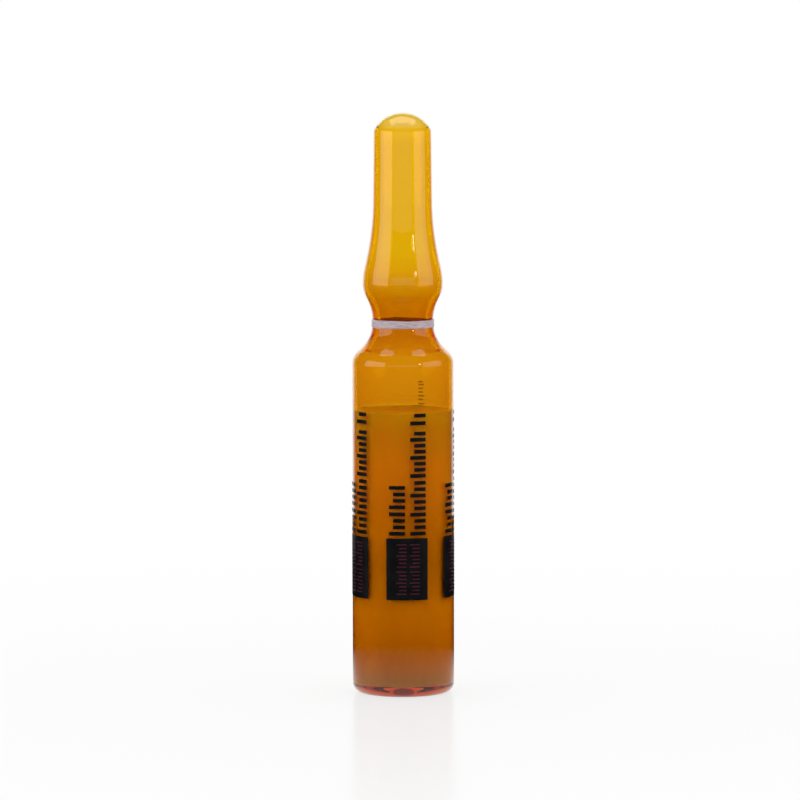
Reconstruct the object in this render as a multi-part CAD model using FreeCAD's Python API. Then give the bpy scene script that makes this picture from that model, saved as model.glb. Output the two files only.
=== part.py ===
"""Sealed glass ampoule of 2 ml, filled, with a colour break ring on its neck and a fired print.

Millimetres, +Z up. The origin is on the axis, in the plane of the ring of glass that the
ampoule stands on. Azimuths are degrees about the axis, from the front at -Y towards +X.
"""

import FreeCAD, Part
import math
import os

# Body and base
body_diameter = 10.75
body_length = 35.0  # from the standing plane to where the shoulder begins to bend in
body_wall = 0.50
heel_bend = 1.05
standing_ring_width = 0.80
base_wall = 0.60  # at the middle, where the base is thinnest
base_rise = 0.45  # how far the base is pushed up at its middle
base_crown_radius = 1.6  # of the flat in the middle of the push-up

# Shoulder and neck
shoulder_length = 4.40
shoulder_bend = 1.65
neck_diameter = 6.44
neck_bend_below = 3.85
neck_bend_above = 5.50
neck_wall = 0.80  # glass gathers where the tube is drawn in

# Bulb and stem above the neck
bulb_lower_length = 4.00
bulb_diameter = 8.50
bulb_bend_below = 2.70
bulb_bend_above = 8.00
bulb_upper_length = 9.00
bulb_wall = 0.50
stem_foot_diameter = 6.26
stem_foot_bend = 28.5
stem_length = 7.10
stem_top_diameter = 6.08
stem_wall = 0.44  # where the stem is slimmest, because its bore is straight

# Flame-sealed tip
tip_rise = 2.00
tip_corner_bend = 0.60
tip_wall = 0.60

# Bore, drawn with straight tapers between the places that have a wall of their own
shoulder_bore_lead = 0.30  # the bore stays straight for this much above the body
neck_bore_length = 1.80
flare_height = 6.60  # from the bulb's widest place up to where the stem's bore is straight
seal_start = 0.10  # below the stem's top, where the bore begins to close

# Liquid
headspace = 5.60  # of the body's length above the level surface
meniscus_rise = 0.70  # from the level surface to where it wets the glass
meniscus_width = 0.80

# Enamel ring on the neck
ring_height = 0.85
ring_drop = 0.12  # from the narrowest place down to the ring's middle
ring_thickness = 0.09
ring_edge = 0.10  # the height over which each edge thins out

# Fired print, repeated round the body: a panel below two columns of dashes
repeats = 5
print_azimuth = 4.5  # of the middle of the first panel
print_thickness = 0.05
print_drop = 4.90  # from the top of the body down to the top of the print
panel_height = 6.55
panel_width = 4.45  # round the glass, as all widths of print are
column_clearance = 0.30  # from the panel up to the columns
dash_width = 1.20
dash_gap = 0.35
short_column = (2.45, 2.45)  # the lengths of its dashes, from the lowest up
short_column_azimuth = -11.5  # from the middle of the panel
long_column = (5.75, 4.85)
long_column_azimuth = 12.5
end_mark_gap = 0.70  # between the long column and the mark above it
end_mark_length = 1.20

# Thin dashes laid over each panel
inlay_width = 1.10
inlay_margin = 0.60  # from the foot and the top of the panel
inlay_gap = 0.40
inlay_count = 2  # in each column
inlay_azimuths = (-6.5, 8.5)

# Batch mark at the back, just under the shoulder
batch_azimuth = 158.0
batch_drop = 2.30  # from the top of the body
batch_dashes = (0.60, 0.95, 0.45)
batch_width = 0.70
batch_gap = 0.25

# Two bends may fill this much of their room, which leaves a short straight between them
bend_room_used = 0.999

# Radii and heights that follow from the sizes above
body_radius = body_diameter / 2
neck_radius = neck_diameter / 2
bulb_radius = bulb_diameter / 2
stem_foot_radius = stem_foot_diameter / 2
stem_top_radius = stem_top_diameter / 2
standing_ring_inner = body_radius - heel_bend - standing_ring_width
neck_height = body_length + shoulder_length
bulb_height = neck_height + bulb_lower_length
stem_foot_height = bulb_height + bulb_upper_length
stem_top_height = stem_foot_height + stem_length
tip_height = stem_top_height + tip_rise
seal_height = tip_height - tip_wall
floor_height = base_rise + base_wall
bore_radius = body_radius - body_wall
bore_corner = heel_bend - body_wall
stem_bore = min(stem_foot_radius, stem_top_radius) - stem_wall
fill_height = body_length - headspace


def spot(point):
    """A radius and a height as a point of the plane that profiles are drawn in."""
    return FreeCAD.Vector(point[0], 0, point[1])


def line(start, end):
    return Part.LineSegment(spot(start), spot(end)).toShape()


def arc(start, middle, end):
    return Part.Arc(spot(start), spot(middle), spot(end)).toShape()


def slack_line(start, end):
    """The same straight as a spline, which takes fewer facets where it is long and slopes little."""
    return Part.LineSegment(spot(start), spot(end)).toNurbs().toShape()


def slack_arc(start, middle, end):
    """The same arc as a spline, which takes fewer facets where a bend is gentle or small."""
    return Part.Arc(spot(start), spot(middle), spot(end)).toNurbs().toShape()


def round_corner(centre, radius, start_degrees, end_degrees, draw=arc):
    """An arc about a centre, between two directions counted from outwards to upwards."""
    points = []
    for part in (0, 0.5, 1):
        turn = math.radians(start_degrees + part * (end_degrees - start_degrees))
        points.append((centre[0] + radius * math.cos(turn), centre[1] + radius * math.sin(turn)))
    return draw(*points)


def polyline(points):
    return [line(start, end) for start, end in zip(points, points[1:])]


def turned(edges):
    """The solid that a closed profile sweeps about the axis."""
    face = Part.Face(Part.Wire(edges))
    return face.revolve(FreeCAD.Vector(0, 0, 0), FreeCAD.Vector(0, 0, 1), 360)


def at_azimuth(shape, degrees):
    """A copy of a shape, turned round the axis from the front."""
    copy = shape.copy()
    copy.rotate(FreeCAD.Vector(0, 0, 0), FreeCAD.Vector(0, 0, 1), degrees)
    return copy


def fitted(run, step, first, last):
    """Two bends that share a run and a step, drawn in where there is no room for both."""
    room = (run * run + step * step) / (2 * step)
    fit = min(1.0, bend_room_used * room / (first + last))
    return first * fit, last * fit


def double_bend(start, end, first, last, draw=(slack_arc, line, slack_arc)):
    """Two arcs and the straight between them, which leave and arrive upright."""
    step, run = end[0] - start[0], end[1] - start[1]
    first, last = fitted(abs(run), abs(step), first, last)
    both = first + last
    straight = math.sqrt(run * run + step * step - 2 * both * abs(step))
    turn = math.atan2(abs(run), both - abs(step)) - math.atan2(straight, both)

    def bend(origin, radius, part, sign):
        """A point of a bend, at a part of its turn from the end that is upright."""
        across = radius * (1 - math.cos(part * turn))
        along = radius * math.sin(part * turn)
        return (
            origin[0] + sign * math.copysign(across, step),
            origin[1] + sign * math.copysign(along, run),
        )

    leaving = [bend(start, first, part, 1) for part in (0, 0.5, 1)]
    arriving = [bend(end, last, part, -1) for part in (1, 0.5, 0)]
    return [draw[0](*leaving), draw[1](leaving[-1], arriving[0]), draw[2](*arriving)]


def crown(radius, foot, rise, bend):
    """The sealed tip over the stem: a tight bend, then one round cap up to the axis."""
    reach = radius - bend
    ball = (reach * reach + rise * rise - bend * bend) / (2 * (rise - bend))
    centre = foot + rise - ball
    lean = math.degrees(math.atan2(foot - centre, reach))
    return [
        round_corner((reach, foot), bend, 0, lean, slack_arc),
        round_corner((0, centre), ball, lean, 90),
    ]


def outer_profile():
    """The outside from the middle of the base up to the tip, closed along the axis."""
    heel_centre = (body_radius - heel_bend, heel_bend)
    shoulder = (body_radius, body_length)
    neck = (neck_radius, neck_height)
    bulb = (bulb_radius, bulb_height)
    stem_foot = (stem_foot_radius, stem_foot_height)
    stem_top = (stem_top_radius, stem_top_height)
    push_up = [(0, base_rise), (base_crown_radius, base_rise), (standing_ring_inner, 0)]
    edges = polyline(push_up + [(heel_centre[0], 0)])
    edges.append(round_corner(heel_centre, heel_bend, -90, -45))
    edges.append(round_corner(heel_centre, heel_bend, -45, 0))
    edges.append(line((body_radius, heel_bend), shoulder))
    edges += double_bend(shoulder, neck, shoulder_bend, neck_bend_below)
    edges += double_bend(neck, bulb, neck_bend_above, bulb_bend_below, (slack_arc, line, arc))
    flare_draw = (slack_arc, slack_line, slack_arc)
    edges += double_bend(bulb, stem_foot, bulb_bend_above, stem_foot_bend, flare_draw)
    edges.append(slack_line(stem_foot, stem_top))
    edges += crown(*stem_top, tip_rise, tip_corner_bend)
    edges.append(line((0, tip_height), (0, base_rise)))
    return edges


def bore_profile():
    """The inside from the middle of the floor up to the seal, closed along the axis."""
    neck_bore = neck_radius - neck_wall
    bulb_bore = bulb_radius - bulb_wall
    points = [
        (0, floor_height),
        (bore_radius - bore_corner, floor_height),
        (bore_radius, floor_height + bore_corner),
        (bore_radius, body_length + shoulder_bore_lead),
        (neck_bore, neck_height - neck_bore_length / 2),
        (neck_bore, neck_height + neck_bore_length / 2),
        (bulb_bore, bulb_height),
        (stem_bore, bulb_height + flare_height),
        (stem_bore, stem_top_height - seal_start),
        (0, seal_height),
    ]
    return polyline(points + points[:1])


def glass_envelope():
    return turned(outer_profile()).cut(turned(bore_profile()))


def liquid_fill():
    """The bore filled up to a level surface that climbs the glass at its rim."""
    points = [
        (0, fill_height),
        (bore_radius - meniscus_width, fill_height),
        (bore_radius, fill_height + meniscus_rise),
        (bore_radius, floor_height + bore_corner),
        (bore_radius - bore_corner, floor_height),
        (0, floor_height),
    ]
    return turned(polyline(points + points[:1]))


def break_ring():
    """A band of enamel on the neck that thins out at its two edges."""
    _, bend_below = fitted(
        shoulder_length, body_radius - neck_radius, shoulder_bend, neck_bend_below
    )
    bend_above, _ = fitted(
        bulb_lower_length, bulb_radius - neck_radius, neck_bend_above, bulb_bend_below
    )
    middle = neck_height - ring_drop
    foot, top = middle - ring_height / 2, middle + ring_height / 2

    def on_neck(height, proud=0.0):
        """The point of the neck at a height, moved out square to the glass."""
        rise = height - neck_height
        bend = bend_below if rise < 0 else bend_above
        turn = math.asin(rise / bend)
        return (
            neck_radius + bend - (bend - proud) * math.cos(turn),
            neck_height + (bend - proud) * math.sin(turn),
        )

    def inner_face(low, high):
        return slack_arc(on_neck(low), on_neck((low + high) / 2), on_neck(high))

    outer = [
        on_neck(top),
        on_neck(top - ring_edge, ring_thickness),
        on_neck(foot + ring_edge, ring_thickness),
        on_neck(foot),
    ]
    return turned([inner_face(foot, neck_height), inner_face(neck_height, top)] + polyline(outer))


def plate(radius, foot, height, width):
    """A patch of print on a cylinder, with its middle at the front."""
    outer = radius + print_thickness
    points = [(radius, foot), (outer, foot), (outer, foot + height), (radius, foot + height)]
    face = Part.Face(Part.Wire(polyline(points + points[:1])))
    spread = math.degrees(width / radius)
    patch = face.revolve(FreeCAD.Vector(0, 0, 0), FreeCAD.Vector(0, 0, 1), spread)
    return at_azimuth(patch, -90 - spread / 2)


def column(radius, foot, lengths, gap, width, azimuth):
    """Patches of print one above another."""
    patches = []
    for length in lengths:
        patches.append(at_azimuth(plate(radius, foot, length, width), azimuth))
        foot += length + gap
    return patches


def stacked(lengths, gap):
    """The height of a column of dashes."""
    return sum(lengths) + gap * (len(lengths) - 1)


def print_set():
    """One repeat of the print, at the front: its panel, its dashes and its inlay."""
    top = body_length - print_drop
    mark_foot = top - end_mark_length
    columns_foot = mark_foot - end_mark_gap - stacked(long_column, dash_gap)
    panel_foot = columns_foot - column_clearance - panel_height
    inlay_radius = body_radius + print_thickness
    inlay_room = panel_height - 2 * inlay_margin - inlay_gap * (inlay_count - 1)
    inlay_lengths = [inlay_room / inlay_count] * inlay_count

    def on_body(foot, lengths, azimuth):
        return column(body_radius, foot, lengths, dash_gap, dash_width, azimuth)

    dashes = on_body(columns_foot, short_column, short_column_azimuth)
    dashes += on_body(columns_foot, long_column, long_column_azimuth)
    dashes += on_body(mark_foot, [end_mark_length], long_column_azimuth)
    inlay = []
    for azimuth in inlay_azimuths:
        foot = panel_foot + inlay_margin
        inlay += column(inlay_radius, foot, inlay_lengths, inlay_gap, inlay_width, azimuth)
    return {
        "print_panel": plate(body_radius, panel_foot, panel_height, panel_width),
        "print_dashes": Part.makeCompound(dashes),
        "panel_inlay": Part.makeCompound(inlay),
    }


def batch_mark():
    foot = body_length - batch_drop - stacked(batch_dashes, batch_gap)
    patches = column(body_radius, foot, batch_dashes, batch_gap, batch_width, batch_azimuth)
    return Part.makeCompound(patches)


def save(name, shape):
    shape.exportStep("parts/" + name + ".step")


def main():
    os.makedirs("parts", exist_ok=True)
    save("glass_envelope", glass_envelope())
    save("liquid_fill", liquid_fill())
    save("break_ring", break_ring())
    save("batch_mark", batch_mark())
    front = print_set()
    for number in range(repeats):
        azimuth = print_azimuth + number * 360 / repeats
        for name, shape in front.items():
            save(name + "_" + str(number + 1), at_azimuth(shape, azimuth))


main()
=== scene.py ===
"""The sealed amber ampoule as it looks: smooth drawn glass, milky liquid, enamel ring, fired print.

Sizes are in millimetres until a mesh is made. Azimuths are degrees about the axis, from the
front at -Y towards +X.
"""

import math

import bpy
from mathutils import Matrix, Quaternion, Vector


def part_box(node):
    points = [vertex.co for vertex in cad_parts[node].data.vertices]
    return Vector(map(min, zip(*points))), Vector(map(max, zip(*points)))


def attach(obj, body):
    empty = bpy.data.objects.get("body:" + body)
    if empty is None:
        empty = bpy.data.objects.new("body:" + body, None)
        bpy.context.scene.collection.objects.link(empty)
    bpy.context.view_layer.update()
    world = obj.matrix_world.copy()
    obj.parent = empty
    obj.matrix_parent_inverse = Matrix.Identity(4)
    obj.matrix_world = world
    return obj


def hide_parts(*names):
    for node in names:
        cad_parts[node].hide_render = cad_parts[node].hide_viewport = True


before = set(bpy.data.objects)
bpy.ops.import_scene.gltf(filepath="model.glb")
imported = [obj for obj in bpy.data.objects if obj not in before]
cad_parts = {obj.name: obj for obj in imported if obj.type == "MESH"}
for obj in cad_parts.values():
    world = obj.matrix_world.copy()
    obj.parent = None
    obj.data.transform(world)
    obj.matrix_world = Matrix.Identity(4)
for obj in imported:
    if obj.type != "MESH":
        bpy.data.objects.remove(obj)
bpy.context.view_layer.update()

MM = 0.001
FULL_TURN = 360.0
SPIN_STEPS = 144
ARC_STEPS = 12
MERGE = 1e-7  # metres, between points that are the same point
NEAR = 1e-6  # radians or metres, between places on a patch of print that line up
BEND_FILL = 0.999  # of the room between two upright lines, the most that two bends take
CREASE = 35.0  # degrees, the sharpest turn that is shaded as a smooth one

# Sizes read from the frame
glass_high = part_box("glass_envelope")[1] / MM
fill_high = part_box("liquid_fill")[1] / MM
ring_low, ring_high = (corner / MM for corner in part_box("break_ring"))
BODY_RADIUS = glass_high.x
TIP_HEIGHT = glass_high.z
BORE_RADIUS = fill_high.x
RING_FOOT = ring_low.z
RING_TOP = ring_high.z

# Outside of the glass
BODY_TOP = 35.0
HEEL_BEND = 1.05
STANDING_RING_INNER = 3.525
BASE_RISE = 0.45
BASE_BENDS = (4.0, 2.0)
NECK = (3.22, 39.40)
SHOULDER_BENDS = (1.65, 3.85)
BULB = (4.25, 43.40)
NECK_BULB_BENDS = (5.50, 2.70)
STEM_FOOT = (3.13, 52.40)
FLARE_BENDS = (8.00, 28.50)
STEM_TOP = (3.04, 59.50)
TIP_CORNER_BEND = 0.60

# Inside of the glass
FLOOR_HEIGHT = 1.05
BORE_CORNER = 0.55
BORE_TOP = 34.95
NECK_BORE_LOW = (2.42, 39.00)
NECK_BORE_HIGH = (2.42, 39.80)
BULB_BORE = (3.75, 43.40)
STEM_BORE_FOOT = (2.60, 51.60)
STEM_BORE_TOP = 59.90
SHOULDER_BORE_BENDS = (1.80, 3.60)
NECK_BULB_BORE_BENDS = (4.60, 2.40)
FLARE_BORE_BENDS = (7.50, 26.00)
SEAL_WALL = 0.16
SEAL_CORNER_BEND = 0.40

# Liquid
SEAT = 0.02  # how far a piece reaches into the glass that it lies against
FILL_HEIGHT = 29.40
MENISCUS_RISE = 0.70
MENISCUS_FADE = 0.42  # the distance from the glass over which it falls to a third
SURFACE_STEPS = 36

# Enamel ring
RING_THICKNESS = 0.09
RING_EDGE = 0.10
RING_WANDER = 0.035  # how far its painted edges wander up and down
RING_WAVES = ((0.6, 3, 1.0, 1.0), (0.4, 7, 0.0, 2.0))  # share, waves a turn, start, shift to an edge

# Print
REPEATS = 5
PRINT_AZIMUTH = 4.5
PRINT_THICKNESS = 0.02
PANEL_FOOT = 10.40
PANEL_HEIGHT = 6.55
PANEL_WIDTH = 4.45
DASH_WIDTH = 1.70
DASH_GAP = 0.35
DASH_COLUMNS = (  # foot, azimuth and lengths of the short column, the long one and its end mark
    (17.25, -11.5, (2.45, 2.45)),
    (17.25, 12.5, (5.75, 4.85)),
    (28.90, 12.5, (1.20,)),
)
INLAY_WIDTH = 1.10
INLAY_GAP = 0.40
INLAY_FOOT = 11.00
INLAY_LENGTHS = (2.475, 2.475)
INLAY_AZIMUTHS = (-6.5, 8.5)
BATCH_AZIMUTH = 158.0
BATCH_FOOT = 30.20
BATCH_DASHES = (0.60, 0.95, 0.45)
BATCH_WIDTH = 0.70
BATCH_GAP = 0.25
BARS = {"dash": (0.40, 0.68), "inlay": (0.13, 0.40), "batch": (0.16, 0.34)}  # thickness and pitch
SHORT_BAR = 0.75  # of the column's width, for two bars in three
ROUNDING = 0.05
PRINT_STEP = 0.45  # the width of a flat of print on the round glass

# Tints up the glass and up the liquid, by height, with painted light and shade in both
# Painted light and shade: the glass is clearest over the liquid and paler up the bulb, stem and tip,
# where light is painted, and darker round the neck and the empty body, where shade is painted; the heel
# stop only makes it less red
GLASS_TINTS_AND_PAINTED_LIGHT = (
    (1.0, (0.60, 0.69, 0.75)),  # heel
    (3.5, (1.00, 0.77, 0.75)),  # foot of the body
    (29.4, (1.00, 0.78, 0.75)),  # liquid's level
    (30.6, (0.79, 0.53, 0.55)),  # empty part of the body
    (34.5, (0.83, 0.575, 0.55)),  # under the shoulder
    (36.2, (0.83, 0.59, 0.55)),  # shoulder
    (38.2, (0.74, 0.485, 0.50)),  # neck under the ring
    (40.5, (0.74, 0.49, 0.50)),  # neck over the ring
    (42.5, (0.78, 0.55, 0.55)),  # lower half of the bulb
    # painted highlight on the upper half of the bulb
    (45.0, (0.89, 0.715, 0.75)),  # upper half of the bulb
    (47.0, (0.90, 0.78, 0.90)),  # between bulb and stem
    (58.0, (0.90, 0.745, 1.00)),  # upper part of the stem
    (60.5, (0.96, 0.81, 1.00)),  # sealed tip
)
# Painted light and shade in the liquid: painted shade at the foot and a painted shadow behind the panels,
# and painted light towards the level
LIQUID_TINTS_AND_PAINTED_LIGHT = (
    (4.0, (0.48, 0.22, 0.10)),  # foot
    (9.0, (0.62, 0.315, 0.13)),  # under the panels
    # painted shadow of the panels
    (14.0, (0.54, 0.27, 0.14)),  # behind the panels
    (20.0, (0.76, 0.38, 0.24)),  # behind the short columns
    (25.0, (1.00, 0.53, 0.33)),  # over the short columns
    (28.0, (1.00, 0.61, 0.44)),  # just under the level
    (30.0, (1.00, 0.80, 0.50)),  # rim of the meniscus
)

# Room
TABLE_RADIUS = 0.17  # metres
TABLE_THICKNESS = 0.01  # metres
TABLE_WHITE = (0.70, 1.00)  # the share of plain white in the table as seen, near by and further off
TABLE_FADE = (0.03, 0.13)  # metres from the axis, between which that share grows
TABLE_LIT = (0.005, 0.035)  # metres from the axis, where its reflection begins to fade and has gone
WORLD_LIGHT = 0.70
ROOM_LIGHT = 0.02  # what the glass reflects of the room, apart from the wall behind
WALL_EDGE = (0.75, 0.90)  # the wall's edge, as a share of the way back in a ray's direction
TOP_BOX_PLACE = (0, 0.155, 0.50)  # metres

# Camera, from the place of the object in the photograph
PHOTO_SIDE = 800  # pixels
PHOTO_SCALE = 9.45  # pixels to a millimetre at the axis
CAMERA_BACK = 600.0
CAMERA_HEIGHT = 84.4
AIM_HEIGHT = 31.1
AXIS_PIXEL = 403.0  # across, at the height that the camera is aimed at
CAMERA_ROLL = 0.107  # degrees
CAMERA_CLIP = (0.05, 20.0)  # metres
SENSOR = 36.0


def deselect_all():
    bpy.ops.object.select_all(action="DESELECT")


def spot(point):
    """A radius and a height in the plane that outlines are drawn in, in metres."""
    return Vector((point[0] * MM, 0, point[1] * MM))


def arc(centre, radius, start, end):
    """Points on an arc between two directions in degrees, outwards being 0 and upwards 90."""
    points = []
    for step in range(ARC_STEPS + 1):
        turn = math.radians(start + (end - start) * step / ARC_STEPS)
        points.append((centre[0] + radius * math.cos(turn), centre[1] + radius * math.sin(turn)))
    return points


def s_curve(start, end, bends, flat=False):
    """Two bends and the straight between them, leaving and arriving upright, or level if flat."""
    if flat:
        return [point[::-1] for point in s_curve(start[::-1], end[::-1], bends)]
    step, run = end[0] - start[0], end[1] - start[1]
    room = (run * run + step * step) / (2 * abs(step))
    fit = min(1.0, BEND_FILL * room / sum(bends))
    first, last = bends[0] * fit, bends[1] * fit
    both = first + last
    straight = math.sqrt(run * run + step * step - 2 * both * abs(step))
    turn = math.atan2(abs(run), both - abs(step)) - math.atan2(straight, both)
    points = []
    for origin, radius, sign in ((start, first, 1), (end, last, -1)):
        bend = []
        for count in range(ARC_STEPS + 1):
            part = turn * count / ARC_STEPS
            across = math.copysign(radius * (1 - math.cos(part)), step)
            along = math.copysign(radius * math.sin(part), run)
            bend.append((origin[0] + sign * across, origin[1] + sign * along))
        points += bend if sign > 0 else bend[::-1]
    return points


def cap(radius, foot, rise, bend):
    """A tight bend and a round cap over it, up to the axis."""
    reach = radius - bend
    ball = (reach * reach + rise * rise - bend * bend) / (2 * (rise - bend))
    centre = foot + rise - ball
    lean = math.degrees(math.atan2(foot - centre, reach))
    return arc((reach, foot), bend, 0, lean) + arc((0, centre), ball, lean, 90)


def without_repeats(points):
    """An outline's points, each once where two parts of it meet."""
    kept = points[:1]
    for point in points[1:]:
        if math.dist(point, kept[-1]) > MERGE / MM:
            kept.append(point)
    return kept


def turned(name, outline, closed=False):
    """A piece spun from an outline, which is extruded point by point from a single vertex."""
    points = without_repeats(outline)
    if closed:
        points.append(points[0])
    deselect_all()
    bpy.ops.mesh.primitive_plane_add(size=MM)
    piece = bpy.context.object
    piece.name = name
    bpy.ops.object.mode_set(mode="EDIT")
    bpy.ops.mesh.select_all(action="SELECT")
    bpy.ops.mesh.merge(type="CENTER")
    bpy.ops.transform.translate(value=spot(points[0]))
    for start, end in zip(points, points[1:]):
        bpy.ops.mesh.extrude_region_move(TRANSFORM_OT_translate={"value": spot(end) - spot(start)})
    bpy.ops.mesh.select_all(action="SELECT")
    bpy.ops.mesh.spin(steps=SPIN_STEPS, angle=math.radians(FULL_TURN), center=(0, 0, 0), axis=(0, 0, 1))
    close_seams()
    bpy.ops.object.mode_set(mode="OBJECT")
    bpy.ops.object.shade_smooth()
    return piece


def close_seams():
    """Merges points that coincide and turns all faces outwards, in edit mode."""
    bpy.ops.mesh.select_all(action="SELECT")
    bpy.ops.mesh.remove_doubles(threshold=MERGE)
    bpy.ops.mesh.normals_make_consistent(inside=False)


def finished(piece, slot, material, *nodes):
    """Gives a piece its finish, its body and the CAD nodes that it stands for."""
    piece.data.name = piece.name
    piece.data.materials.clear()
    piece.data.materials.append(material)
    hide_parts(*nodes)
    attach(piece, "root")
    return piece


def outside_outline():
    """The outside of the glass, from the pushed-up base on the axis to the tip on the axis."""
    points = s_curve((0, BASE_RISE), (STANDING_RING_INNER, 0), BASE_BENDS, flat=True)
    points += arc((BODY_RADIUS - HEEL_BEND, HEEL_BEND), HEEL_BEND, -90, 0)
    points += s_curve((BODY_RADIUS, BODY_TOP), NECK, SHOULDER_BENDS)
    points += s_curve(NECK, BULB, NECK_BULB_BENDS)
    points += s_curve(BULB, STEM_FOOT, FLARE_BENDS)
    return points + cap(*STEM_TOP, TIP_HEIGHT - STEM_TOP[1], TIP_CORNER_BEND)


def floor_outline(sunk=0.0):
    """The inside of the base, from the axis out to the wall of the bore."""
    centre = (BORE_RADIUS - BORE_CORNER, FLOOR_HEIGHT + BORE_CORNER)
    return [(0, FLOOR_HEIGHT - sunk)] + arc(centre, BORE_CORNER + sunk, -90, 0)


def bore_outline():
    """The inside of the glass, from its floor on the axis to the seal on the axis."""
    points = floor_outline()
    points += s_curve((BORE_RADIUS, BORE_TOP), NECK_BORE_LOW, SHOULDER_BORE_BENDS)
    points += s_curve(NECK_BORE_HIGH, BULB_BORE, NECK_BULB_BORE_BENDS)
    points += s_curve(BULB_BORE, STEM_BORE_FOOT, FLARE_BORE_BENDS)
    rise = TIP_HEIGHT - SEAL_WALL - STEM_BORE_TOP
    return points + cap(STEM_BORE_FOOT[0], STEM_BORE_TOP, rise, SEAL_CORNER_BEND)


def build_glass(material):
    """The envelope: an outside and a sealed bore, whose faces look into the hollow."""
    envelope = turned("ampoule_glass", outside_outline())
    bore = turned("ampoule_bore", bore_outline())
    bpy.ops.object.mode_set(mode="EDIT")
    bpy.ops.mesh.select_all(action="SELECT")
    bpy.ops.mesh.flip_normals()
    bpy.ops.object.mode_set(mode="OBJECT")
    deselect_all()
    bore.select_set(True)
    envelope.select_set(True)
    bpy.context.view_layer.objects.active = envelope
    bpy.ops.object.join()
    return finished(envelope, "amber_glass", material, "glass_envelope")


def build_liquid(material):
    """The filling, whose surface climbs the glass at its rim."""
    wall = BORE_RADIUS + SEAT
    points = floor_outline(SEAT)
    surface = []
    for step in range(SURFACE_STEPS + 1):
        gap = wall * (step / SURFACE_STEPS) ** 2
        rise = MENISCUS_RISE * math.exp(-gap / MENISCUS_FADE)
        surface.append((wall - gap, FILL_HEIGHT + rise))
    liquid = turned("milky_liquid", points + surface)
    return finished(liquid, "liquid", material, "liquid_fill")


def neck_radius(height):
    """The radius of the glass near the neck."""
    rise = height - NECK[1]
    bend = SHOULDER_BENDS[1] if rise < 0 else NECK_BULB_BENDS[0]
    return NECK[0] + bend - math.sqrt(bend * bend - rise * rise)


def build_ring(material):
    """The painted band, thinner at its edges, which wander as a brushed line does."""
    middle, half = (RING_FOOT + RING_TOP) / 2, (RING_TOP - RING_FOOT) / 2
    points = []
    for step in range(ARC_STEPS + 1):
        height = RING_FOOT + 2 * half * step / ARC_STEPS
        edge = min(height - RING_FOOT, RING_TOP - height) / RING_EDGE
        cover = RING_THICKNESS * math.sqrt(min(1.0, max(edge, 0.0)))
        points.append((neck_radius(height) + cover, height))
    for height in (RING_TOP, middle, RING_FOOT):
        points.append((neck_radius(height) - SEAT, height))
    ring = turned("break_ring_enamel", points, closed=True)
    for vertex in ring.data.vertices:
        turn = math.atan2(vertex.co.y, vertex.co.x)
        side = (vertex.co.z / MM - middle) / half
        wave = sum(share * math.sin(waves * turn + start + shift * side)
                   for share, waves, start, shift in RING_WAVES)
        vertex.co.z += RING_WANDER * MM * wave * abs(side)
    return finished(ring, "ring_enamel", material, "break_ring")


def print_patch(radius, foot, height, width, azimuth):
    """A rounded patch of ink on the glass: a thin upright plate spun about the axis."""
    spread = width / radius
    inner, outer = radius - SEAT / 2, radius + PRINT_THICKNESS
    deselect_all()
    bpy.ops.mesh.primitive_plane_add(size=1)
    patch = bpy.context.object
    bpy.ops.object.mode_set(mode="EDIT")
    bpy.ops.mesh.select_all(action="SELECT")
    bpy.ops.transform.resize(value=((outer - inner) * MM, height * MM, 1))
    bpy.ops.transform.rotate(value=-math.pi / 2, orient_axis="X", center_override=(0, 0, 0))
    bpy.ops.transform.translate(value=spot(((inner + outer) / 2, foot + height / 2)))
    steps = math.ceil(width / PRINT_STEP)
    bpy.ops.mesh.spin(steps=steps, angle=-spread, center=(0, 0, 0), axis=(0, 0, 1))
    close_seams()
    bpy.ops.mesh.select_all(action="DESELECT")
    bpy.ops.object.mode_set(mode="OBJECT")
    select_short_edges(patch)
    bpy.ops.object.mode_set(mode="EDIT")
    bpy.ops.mesh.bevel(offset=ROUNDING * MM, segments=2, affect="EDGES")
    bpy.ops.object.mode_set(mode="OBJECT")
    patch.rotation_euler.z = math.radians(azimuth - 90) - spread / 2
    bpy.ops.object.transform_apply(location=True, rotation=True, scale=True)
    return patch


def select_short_edges(patch):
    """Selects the four edges that run through a patch's thickness at its corners."""
    mesh = patch.data
    places = [(math.atan2(vertex.co.y, vertex.co.x), vertex.co.z) for vertex in mesh.vertices]
    turns = [place[0] for place in places]
    heights = [place[1] for place in places]
    for edge in mesh.edges:
        first, second = (places[index] for index in edge.vertices)
        through = math.dist(first, second) < NEAR
        at_side = min(first[0] - min(turns), max(turns) - first[0]) < NEAR
        at_end = min(first[1] - min(heights), max(heights) - first[1]) < NEAR
        edge.select = through and at_side and at_end


def joined(name, patches):
    """Patches of print as one piece."""
    deselect_all()
    for patch in patches:
        patch.select_set(True)
    bpy.context.view_layer.objects.active = patches[0]
    if len(patches) > 1:
        bpy.ops.object.join()
    piece = bpy.context.object
    piece.name = name
    bpy.ops.object.shade_smooth_by_angle(angle=math.radians(CREASE))
    return piece


def bar_column(foot, azimuth, lengths, kind, width, gap, radius=BODY_RADIUS):
    """A line of print as plain bars across it, in groups of the given lengths."""
    thickness, pitch = BARS[kind]
    patches = []
    for length in lengths:
        bars = max(2, round((length - thickness) / pitch) + 1)
        for number in range(bars):
            height = foot + (length - thickness) * number / (bars - 1)
            across = width if number % 3 == 0 else width * SHORT_BAR
            aside = math.degrees((width - across) / 2 / radius)
            patches.append(print_patch(radius, height, thickness, across, azimuth + aside))
        foot += length + gap
    return patches


def turned_copy(piece, name, degrees):
    """A copy of a piece with a mesh of its own, turned about the axis."""
    copy = piece.copy()
    copy.data = piece.data.copy()
    copy.name = name
    bpy.context.collection.objects.link(copy)
    deselect_all()
    copy.select_set(True)
    bpy.context.view_layer.objects.active = copy
    copy.rotation_euler.z = math.radians(degrees)
    bpy.ops.object.transform_apply(location=True, rotation=True, scale=True)
    return copy


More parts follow.
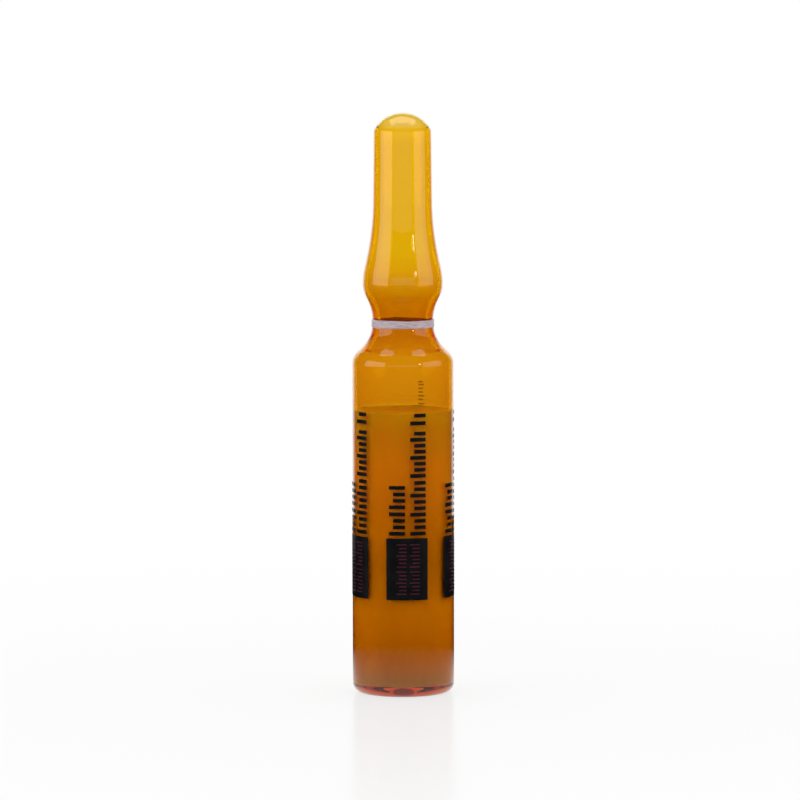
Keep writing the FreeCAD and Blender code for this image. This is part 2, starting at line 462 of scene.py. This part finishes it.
def build_print(black, red, grey):
    """One repeat of the print, copied round the body, and the mark at the back."""
    panel = print_patch(BODY_RADIUS, PANEL_FOOT, PANEL_HEIGHT, PANEL_WIDTH, 0)
    dashes = []
    for column in DASH_COLUMNS:
        dashes += bar_column(*column, "dash", DASH_WIDTH, DASH_GAP)
    inlay = []
    on_panel = BODY_RADIUS + PRINT_THICKNESS
    for azimuth in INLAY_AZIMUTHS:
        inlay += bar_column(INLAY_FOOT, azimuth, INLAY_LENGTHS, "inlay", INLAY_WIDTH, INLAY_GAP, on_panel)
    first = {
        "panel": (joined("panel", [panel]), "black_print", black, "print_panel_"),
        "dashes": (joined("dashes", dashes), "black_print", black, "print_dashes_"),
        "inlay": (joined("inlay", inlay), "dark_red_print", red, "panel_inlay_"),
    }
    for kind, (piece, slot, material, node) in first.items():
        for number in range(1, REPEATS + 1):
            azimuth = PRINT_AZIMUTH + (number - 1) * FULL_TURN / REPEATS
            copy = turned_copy(piece, f"fired_{kind}_{number}", azimuth)
            finished(copy, slot, material, node + str(number))
        bpy.data.objects.remove(piece)
    batch = bar_column(BATCH_FOOT, BATCH_AZIMUTH, BATCH_DASHES, "batch", BATCH_WIDTH, BATCH_GAP)
    finished(joined("fired_batch_mark", batch), "batch_print", grey, "batch_mark")


def new_material(name):
    """A node material with a Principled shader on its surface."""
    material = bpy.data.materials.new(name)
    material.use_nodes = True
    tree = material.node_tree
    return material, tree, tree.nodes["Principled BSDF"]


def object_coordinates(tree, scale=(1, 1, 1)):
    """Object coordinates, which are metres in the row's frame, stretched by a Mapping node."""
    place = tree.nodes.new("ShaderNodeTexCoord")
    mapping = tree.nodes.new("ShaderNodeMapping")
    mapping.inputs["Scale"].default_value = scale
    tree.links.new(place.outputs["Object"], mapping.inputs["Vector"])
    return mapping.outputs["Vector"]


def noise(tree, vector, scale, detail=3.0, roughness=0.5):
    """A noise between 0 and 1, finer with a larger scale."""
    texture = tree.nodes.new("ShaderNodeTexNoise")
    texture.inputs["Scale"].default_value = scale
    texture.inputs["Detail"].default_value = detail
    texture.inputs["Roughness"].default_value = roughness
    tree.links.new(vector, texture.inputs["Vector"])
    return texture.outputs["Fac"]


def ramp(tree, factor, stops):
    """A colour ramp through (position, colour) stops."""
    node = tree.nodes.new("ShaderNodeValToRGB")
    elements = node.color_ramp.elements
    while len(elements) < len(stops):
        elements.new(0.5)
    for element, (position, colour) in zip(elements, stops):
        element.position = position
        element.color = (*colour, 1.0)
    tree.links.new(factor, node.inputs["Fac"])
    return node.outputs["Color"]


def height_ramp(tree, tints):
    """A colour that changes up the ampoule, through (height, colour) stops in millimetres."""
    place = tree.nodes.new("ShaderNodeTexCoord")
    parts = tree.nodes.new("ShaderNodeSeparateXYZ")
    tree.links.new(place.outputs["Object"], parts.inputs["Vector"])
    share = stretched(tree, parts.outputs["Z"], (0.0, TIP_HEIGHT * MM), (0.0, 1.0))
    return ramp(tree, share, [(height / TIP_HEIGHT, colour) for height, colour in tints])


def bump(tree, shader, height, strength, distance):
    """Relief on a shader's surface, with its depth in millimetres."""
    node = tree.nodes.new("ShaderNodeBump")
    node.inputs["Strength"].default_value = strength
    node.inputs["Distance"].default_value = distance * MM
    tree.links.new(height, node.inputs["Height"])
    tree.links.new(node.outputs["Normal"], shader.inputs["Normal"])


def amber_glass():
    """Clear amber glass whose colour changes by height, with painted light and shade in it: clearest over
    the liquid, paler up the bulb, stem and tip, darker round the neck and the empty body, and its heel
    tinted less red. Faint lines run along the draw.
    """
    material, tree, shader = new_material("amber_glass")
    shader.inputs["Transmission Weight"].default_value = 1.0
    shader.inputs["Roughness"].default_value = 0.02
    shader.inputs["IOR"].default_value = 1.15
    shader.inputs["Coat Weight"].default_value = 1.0
    shader.inputs["Coat Roughness"].default_value = 0.02
    shader.inputs["Coat IOR"].default_value = 1.6
    # The base colour by height paints light and shade onto the glass
    tree.links.new(height_ramp(tree, GLASS_TINTS_AND_PAINTED_LIGHT), shader.inputs["Base Color"])
    lines = noise(tree, object_coordinates(tree, (1, 1, 0.06)), 900)
    bump(tree, shader, lines, 0.25, 0.01)
    depth = tree.nodes.new("ShaderNodeVolumeAbsorption")
    depth.inputs["Color"].default_value = (0.994, 0.945, 0.0, 1.0)
    depth.inputs["Density"].default_value = 5200.0
    tree.links.new(depth.outputs["Volume"], tree.nodes["Material Output"].inputs["Volume"])
    return material


def milky_liquid():
    """A cloudy filling that scatters light under its surface, its colour painted paler towards the top
    and darker at the foot and behind the panels, as painted light and shade.
    """
    material, tree, shader = new_material("milky_liquid")
    clouds = noise(tree, object_coordinates(tree, (1, 1, 0.5)), 220)
    shade = ramp(tree, clouds, ((0.3, (0.90, 0.90, 0.90)), (0.7, (1.0, 1.0, 1.0))))
    tint = tree.nodes.new("ShaderNodeMix")
    tint.data_type = "RGBA"
    tint.blend_type = "MULTIPLY"
    tint.inputs["Factor"].default_value = 1.0
    # The height ramp paints light and shade onto the liquid
    tree.links.new(height_ramp(tree, LIQUID_TINTS_AND_PAINTED_LIGHT), tint.inputs["A"])
    tree.links.new(shade, tint.inputs["B"])
    tree.links.new(tint.outputs["Result"], shader.inputs["Base Color"])
    shader.inputs["Roughness"].default_value = 0.35
    shader.inputs["Specular IOR Level"].default_value = 0.0
    shader.inputs["Subsurface Weight"].default_value = 1.0
    shader.inputs["Subsurface Radius"].default_value = (1.0, 0.6, 0.3)
    shader.inputs["Subsurface Scale"].default_value = 0.6 * MM
    return material


def enamel(name, pale, dark, roughness, cover=1.0):
    """Fired ink or enamel: a satin skin with a fine grain and slight change of tone."""
    material, tree, shader = new_material(name)
    where = object_coordinates(tree)
    tone = ramp(tree, noise(tree, where, 900), ((0.35, dark), (0.65, pale)))
    tree.links.new(tone, shader.inputs["Base Color"])
    shader.inputs["Roughness"].default_value = roughness
    shader.inputs["Specular IOR Level"].default_value = 0.35
    shader.inputs["Alpha"].default_value = cover
    bump(tree, shader, noise(tree, where, 9000), 0.3, 0.004)
    return material


def brushed_enamel():
    """Pale enamel laid on by a turning brush, so its streaks run round the neck."""
    material, tree, shader = new_material("ring_enamel")
    streaks = noise(tree, object_coordinates(tree, (1, 1, 9)), 1300, 2.0)
    tone = ramp(tree, streaks, ((0.35, (0.44, 0.37, 0.40)), (0.65, (0.64, 0.56, 0.60))))
    tree.links.new(tone, shader.inputs["Base Color"])
    shader.inputs["Roughness"].default_value = 0.38
    shader.inputs["Subsurface Weight"].default_value = 0.5
    shader.inputs["Subsurface Scale"].default_value = 0.25 * MM
    bump(tree, shader, streaks, 0.4, 0.02)
    return material


def build_floor():
    """A round white table top that keeps a soft shadow and a faint reflection.

    What the glass reflects of it fades with its distance from the ampoule, as a small lit
    table does in a dim room.
    """
    deselect_all()
    bpy.ops.mesh.primitive_cylinder_add(
        vertices=96, radius=TABLE_RADIUS, depth=TABLE_THICKNESS, location=(0, 0, -TABLE_THICKNESS / 2)
    )
    floor = bpy.context.object
    floor.name = "table_top"
    material, tree, shader = new_material("table_top")
    shader.inputs["Base Color"].default_value = (0.94, 0.94, 0.94, 1)
    shader.inputs["Roughness"].default_value = 0.20
    path = tree.nodes.new("ShaderNodeLightPath")
    place = tree.nodes.new("ShaderNodeTexCoord")
    flat = tree.nodes.new("ShaderNodeVectorMath")
    flat.operation = "MULTIPLY"
    flat.inputs[1].default_value = (1, 1, 0)
    away = tree.nodes.new("ShaderNodeVectorMath")
    away.operation = "LENGTH"
    tree.links.new(place.outputs["Object"], flat.inputs[0])
    tree.links.new(flat.outputs["Vector"], away.inputs[0])
    white = stretched(tree, away.outputs["Value"], TABLE_FADE, TABLE_WHITE)
    seen = math_node(tree, "MAXIMUM", seen_straight(tree, path), path.outputs["Is Glossy Ray"])
    plain = product(tree, seen, white)
    lit = mixed_shaders(tree, plain, shader.outputs["BSDF"], plain_light(tree, 1.0))
    fade = stretched(tree, away.outputs["Value"], TABLE_LIT, (0.0, 1.0))
    glossy, refracted = path.outputs["Is Glossy Ray"], path.outputs["Is Transmission Ray"]
    mirrored = math_node(tree, "SUBTRACT", glossy, refracted)
    dim = product(tree, math_node(tree, "MAXIMUM", mirrored, 0.0), fade)
    surface = mixed_shaders(tree, dim, lit, plain_light(tree, 0.0))
    tree.links.new(surface, tree.nodes["Material Output"].inputs["Surface"])
    floor.data.materials.append(material)


def stretched(tree, value, given, wanted):
    """A value mapped from one range to another and held within it."""
    node = tree.nodes.new("ShaderNodeMapRange")
    node.inputs["From Min"].default_value, node.inputs["From Max"].default_value = given
    node.inputs["To Min"].default_value, node.inputs["To Max"].default_value = wanted
    tree.links.new(value, node.inputs["Value"])
    return node.outputs["Result"]


def math_node(tree, operation, first, second):
    """A Math node between a socket and another socket or a number."""
    node = tree.nodes.new("ShaderNodeMath")
    node.operation = operation
    tree.links.new(first, node.inputs[0])
    if isinstance(second, float):
        node.inputs[1].default_value = second
    else:
        tree.links.new(second, node.inputs[1])
    return node.outputs["Value"]


def product(tree, first, second):
    return math_node(tree, "MULTIPLY", first, second)


def mixed_shaders(tree, share, first, second):
    """The first shader where the share is 0 and the second where it is 1."""
    node = tree.nodes.new("ShaderNodeMixShader")
    tree.links.new(share, node.inputs["Fac"])
    tree.links.new(first, node.inputs[1])
    tree.links.new(second, node.inputs[2])
    return node.outputs["Shader"]


def plain_light(tree, strength):
    """An even white light, of which a strength of 1 is plain white."""
    node = tree.nodes.new("ShaderNodeEmission")
    node.inputs["Strength"].default_value = strength
    return node.outputs["Emission"]


def seen_straight(tree, path):
    """1 for what is seen by itself or through glass, and 0 for what is reflected or lights a piece."""
    return math_node(tree, "MAXIMUM", path.outputs["Is Camera Ray"], path.outputs["Is Transmission Ray"])


def build_world():
    """Plain grey light all round, white as seen, and a white wall behind for reflections."""
    world = bpy.data.worlds.new("studio")
    bpy.context.scene.world = world
    world.use_nodes = True
    tree = world.node_tree
    light = tree.nodes["Background"]
    light.inputs["Color"].default_value = (1, 1, 1, 1)
    light.inputs["Strength"].default_value = WORLD_LIGHT
    path = tree.nodes.new("ShaderNodeLightPath")
    direction = tree.nodes.new("ShaderNodeTexCoord")
    parts = tree.nodes.new("ShaderNodeSeparateXYZ")
    tree.links.new(direction.outputs["Generated"], parts.inputs["Vector"])
    wall = stretched(tree, parts.outputs["Y"], WALL_EDGE, (0.0, 1.0))
    room = mixed_shaders(tree, wall, plain_light(tree, ROOM_LIGHT), plain_light(tree, 1.0))
    reflected = mixed_shaders(tree, path.outputs["Is Glossy Ray"], light.outputs["Background"], room)
    white = mixed_shaders(tree, seen_straight(tree, path), reflected, plain_light(tree, 1.0))
    tree.links.new(white, tree.nodes["World Output"].inputs["Surface"])


def soft_box(name, azimuth, distance, low, width, tall, radiance):
    """An upright soft lamp that faces the ampoule's axis, in metres."""
    data = bpy.data.lights.new(name, "AREA")
    data.shape = "RECTANGLE"
    data.size = width
    data.size_y = tall
    data.energy = radiance * math.pi * width * tall
    lamp = bpy.data.objects.new(name, data)
    bpy.context.collection.objects.link(lamp)
    lamp.visible_camera = False
    turn = math.radians(azimuth)
    lamp.location = (distance * math.sin(turn), -distance * math.cos(turn), low + tall / 2)
    lamp.rotation_euler = (math.pi / 2, 0, turn)
    return lamp


def build_lamps():
    """A soft box on either side, a faint one in front, a small bright one and one overhead."""
    soft_box("left_box", azimuth=-70, distance=0.60, low=0.005, width=0.62, tall=0.34, radiance=1.15)
    soft_box("right_box", azimuth=72, distance=0.60, low=0.005, width=0.58, tall=0.34, radiance=0.83)
    soft_box("front_box", azimuth=0, distance=0.62, low=0.020, width=0.95, tall=0.14, radiance=0.28)
    soft_box("strip_light", azimuth=39, distance=0.60, low=0.16, width=0.02, tall=0.07, radiance=14.0)
    top = soft_box("top_box", azimuth=0, distance=0, low=0, width=0.50, tall=0.32, radiance=1.1)
    top.location = TOP_BOX_PLACE
    top.rotation_euler = (0, 0, 0)


def build_camera():
    """The photograph's view, with the ampoule at its place and size in the frame."""
    data = bpy.data.cameras.new("camera")
    camera = bpy.data.objects.new("camera", data)
    bpy.context.collection.objects.link(camera)
    camera.location = (0, -CAMERA_BACK * MM, CAMERA_HEIGHT * MM)
    drop = CAMERA_HEIGHT - AIM_HEIGHT
    reach = math.hypot(CAMERA_BACK, drop)
    data.sensor_width = SENSOR
    data.lens = SENSOR * PHOTO_SCALE * reach / PHOTO_SIDE
    aside = (PHOTO_SIDE / 2 - AXIS_PIXEL) / PHOTO_SCALE
    aim = Vector((aside, 0, AIM_HEIGHT)) * MM - camera.location
    camera.rotation_mode = "QUATERNION"
    camera.rotation_quaternion = aim.to_track_quat("-Z", "Y")
    camera.rotation_quaternion.rotate(Quaternion(aim.normalized(), math.radians(CAMERA_ROLL)))
    data.clip_start, data.clip_end = CAMERA_CLIP
    bpy.context.scene.camera = camera


def set_render():
    """Plain colours, and enough bounces for light to pass the glass and the hollow both ways."""
    scene = bpy.context.scene
    scene.view_settings.view_transform = "Standard"
    scene.cycles.use_denoising = True
    scene.cycles.max_bounces = 16
    scene.cycles.transmission_bounces = 16
    scene.cycles.glossy_bounces = 8


build_glass(amber_glass())
build_liquid(milky_liquid())
build_ring(brushed_enamel())
build_print(
    enamel("black_print", (0.008, 0.008, 0.009), (0.004, 0.004, 0.005), 0.22),
    enamel("dark_red_print", (0.090, 0.008, 0.022), (0.055, 0.005, 0.014), 0.35),
    enamel("batch_print", (0.42, 0.32, 0.24), (0.30, 0.22, 0.16), 0.55, cover=0.5),
)
build_floor()
build_world()
build_lamps()
build_camera()
set_render()
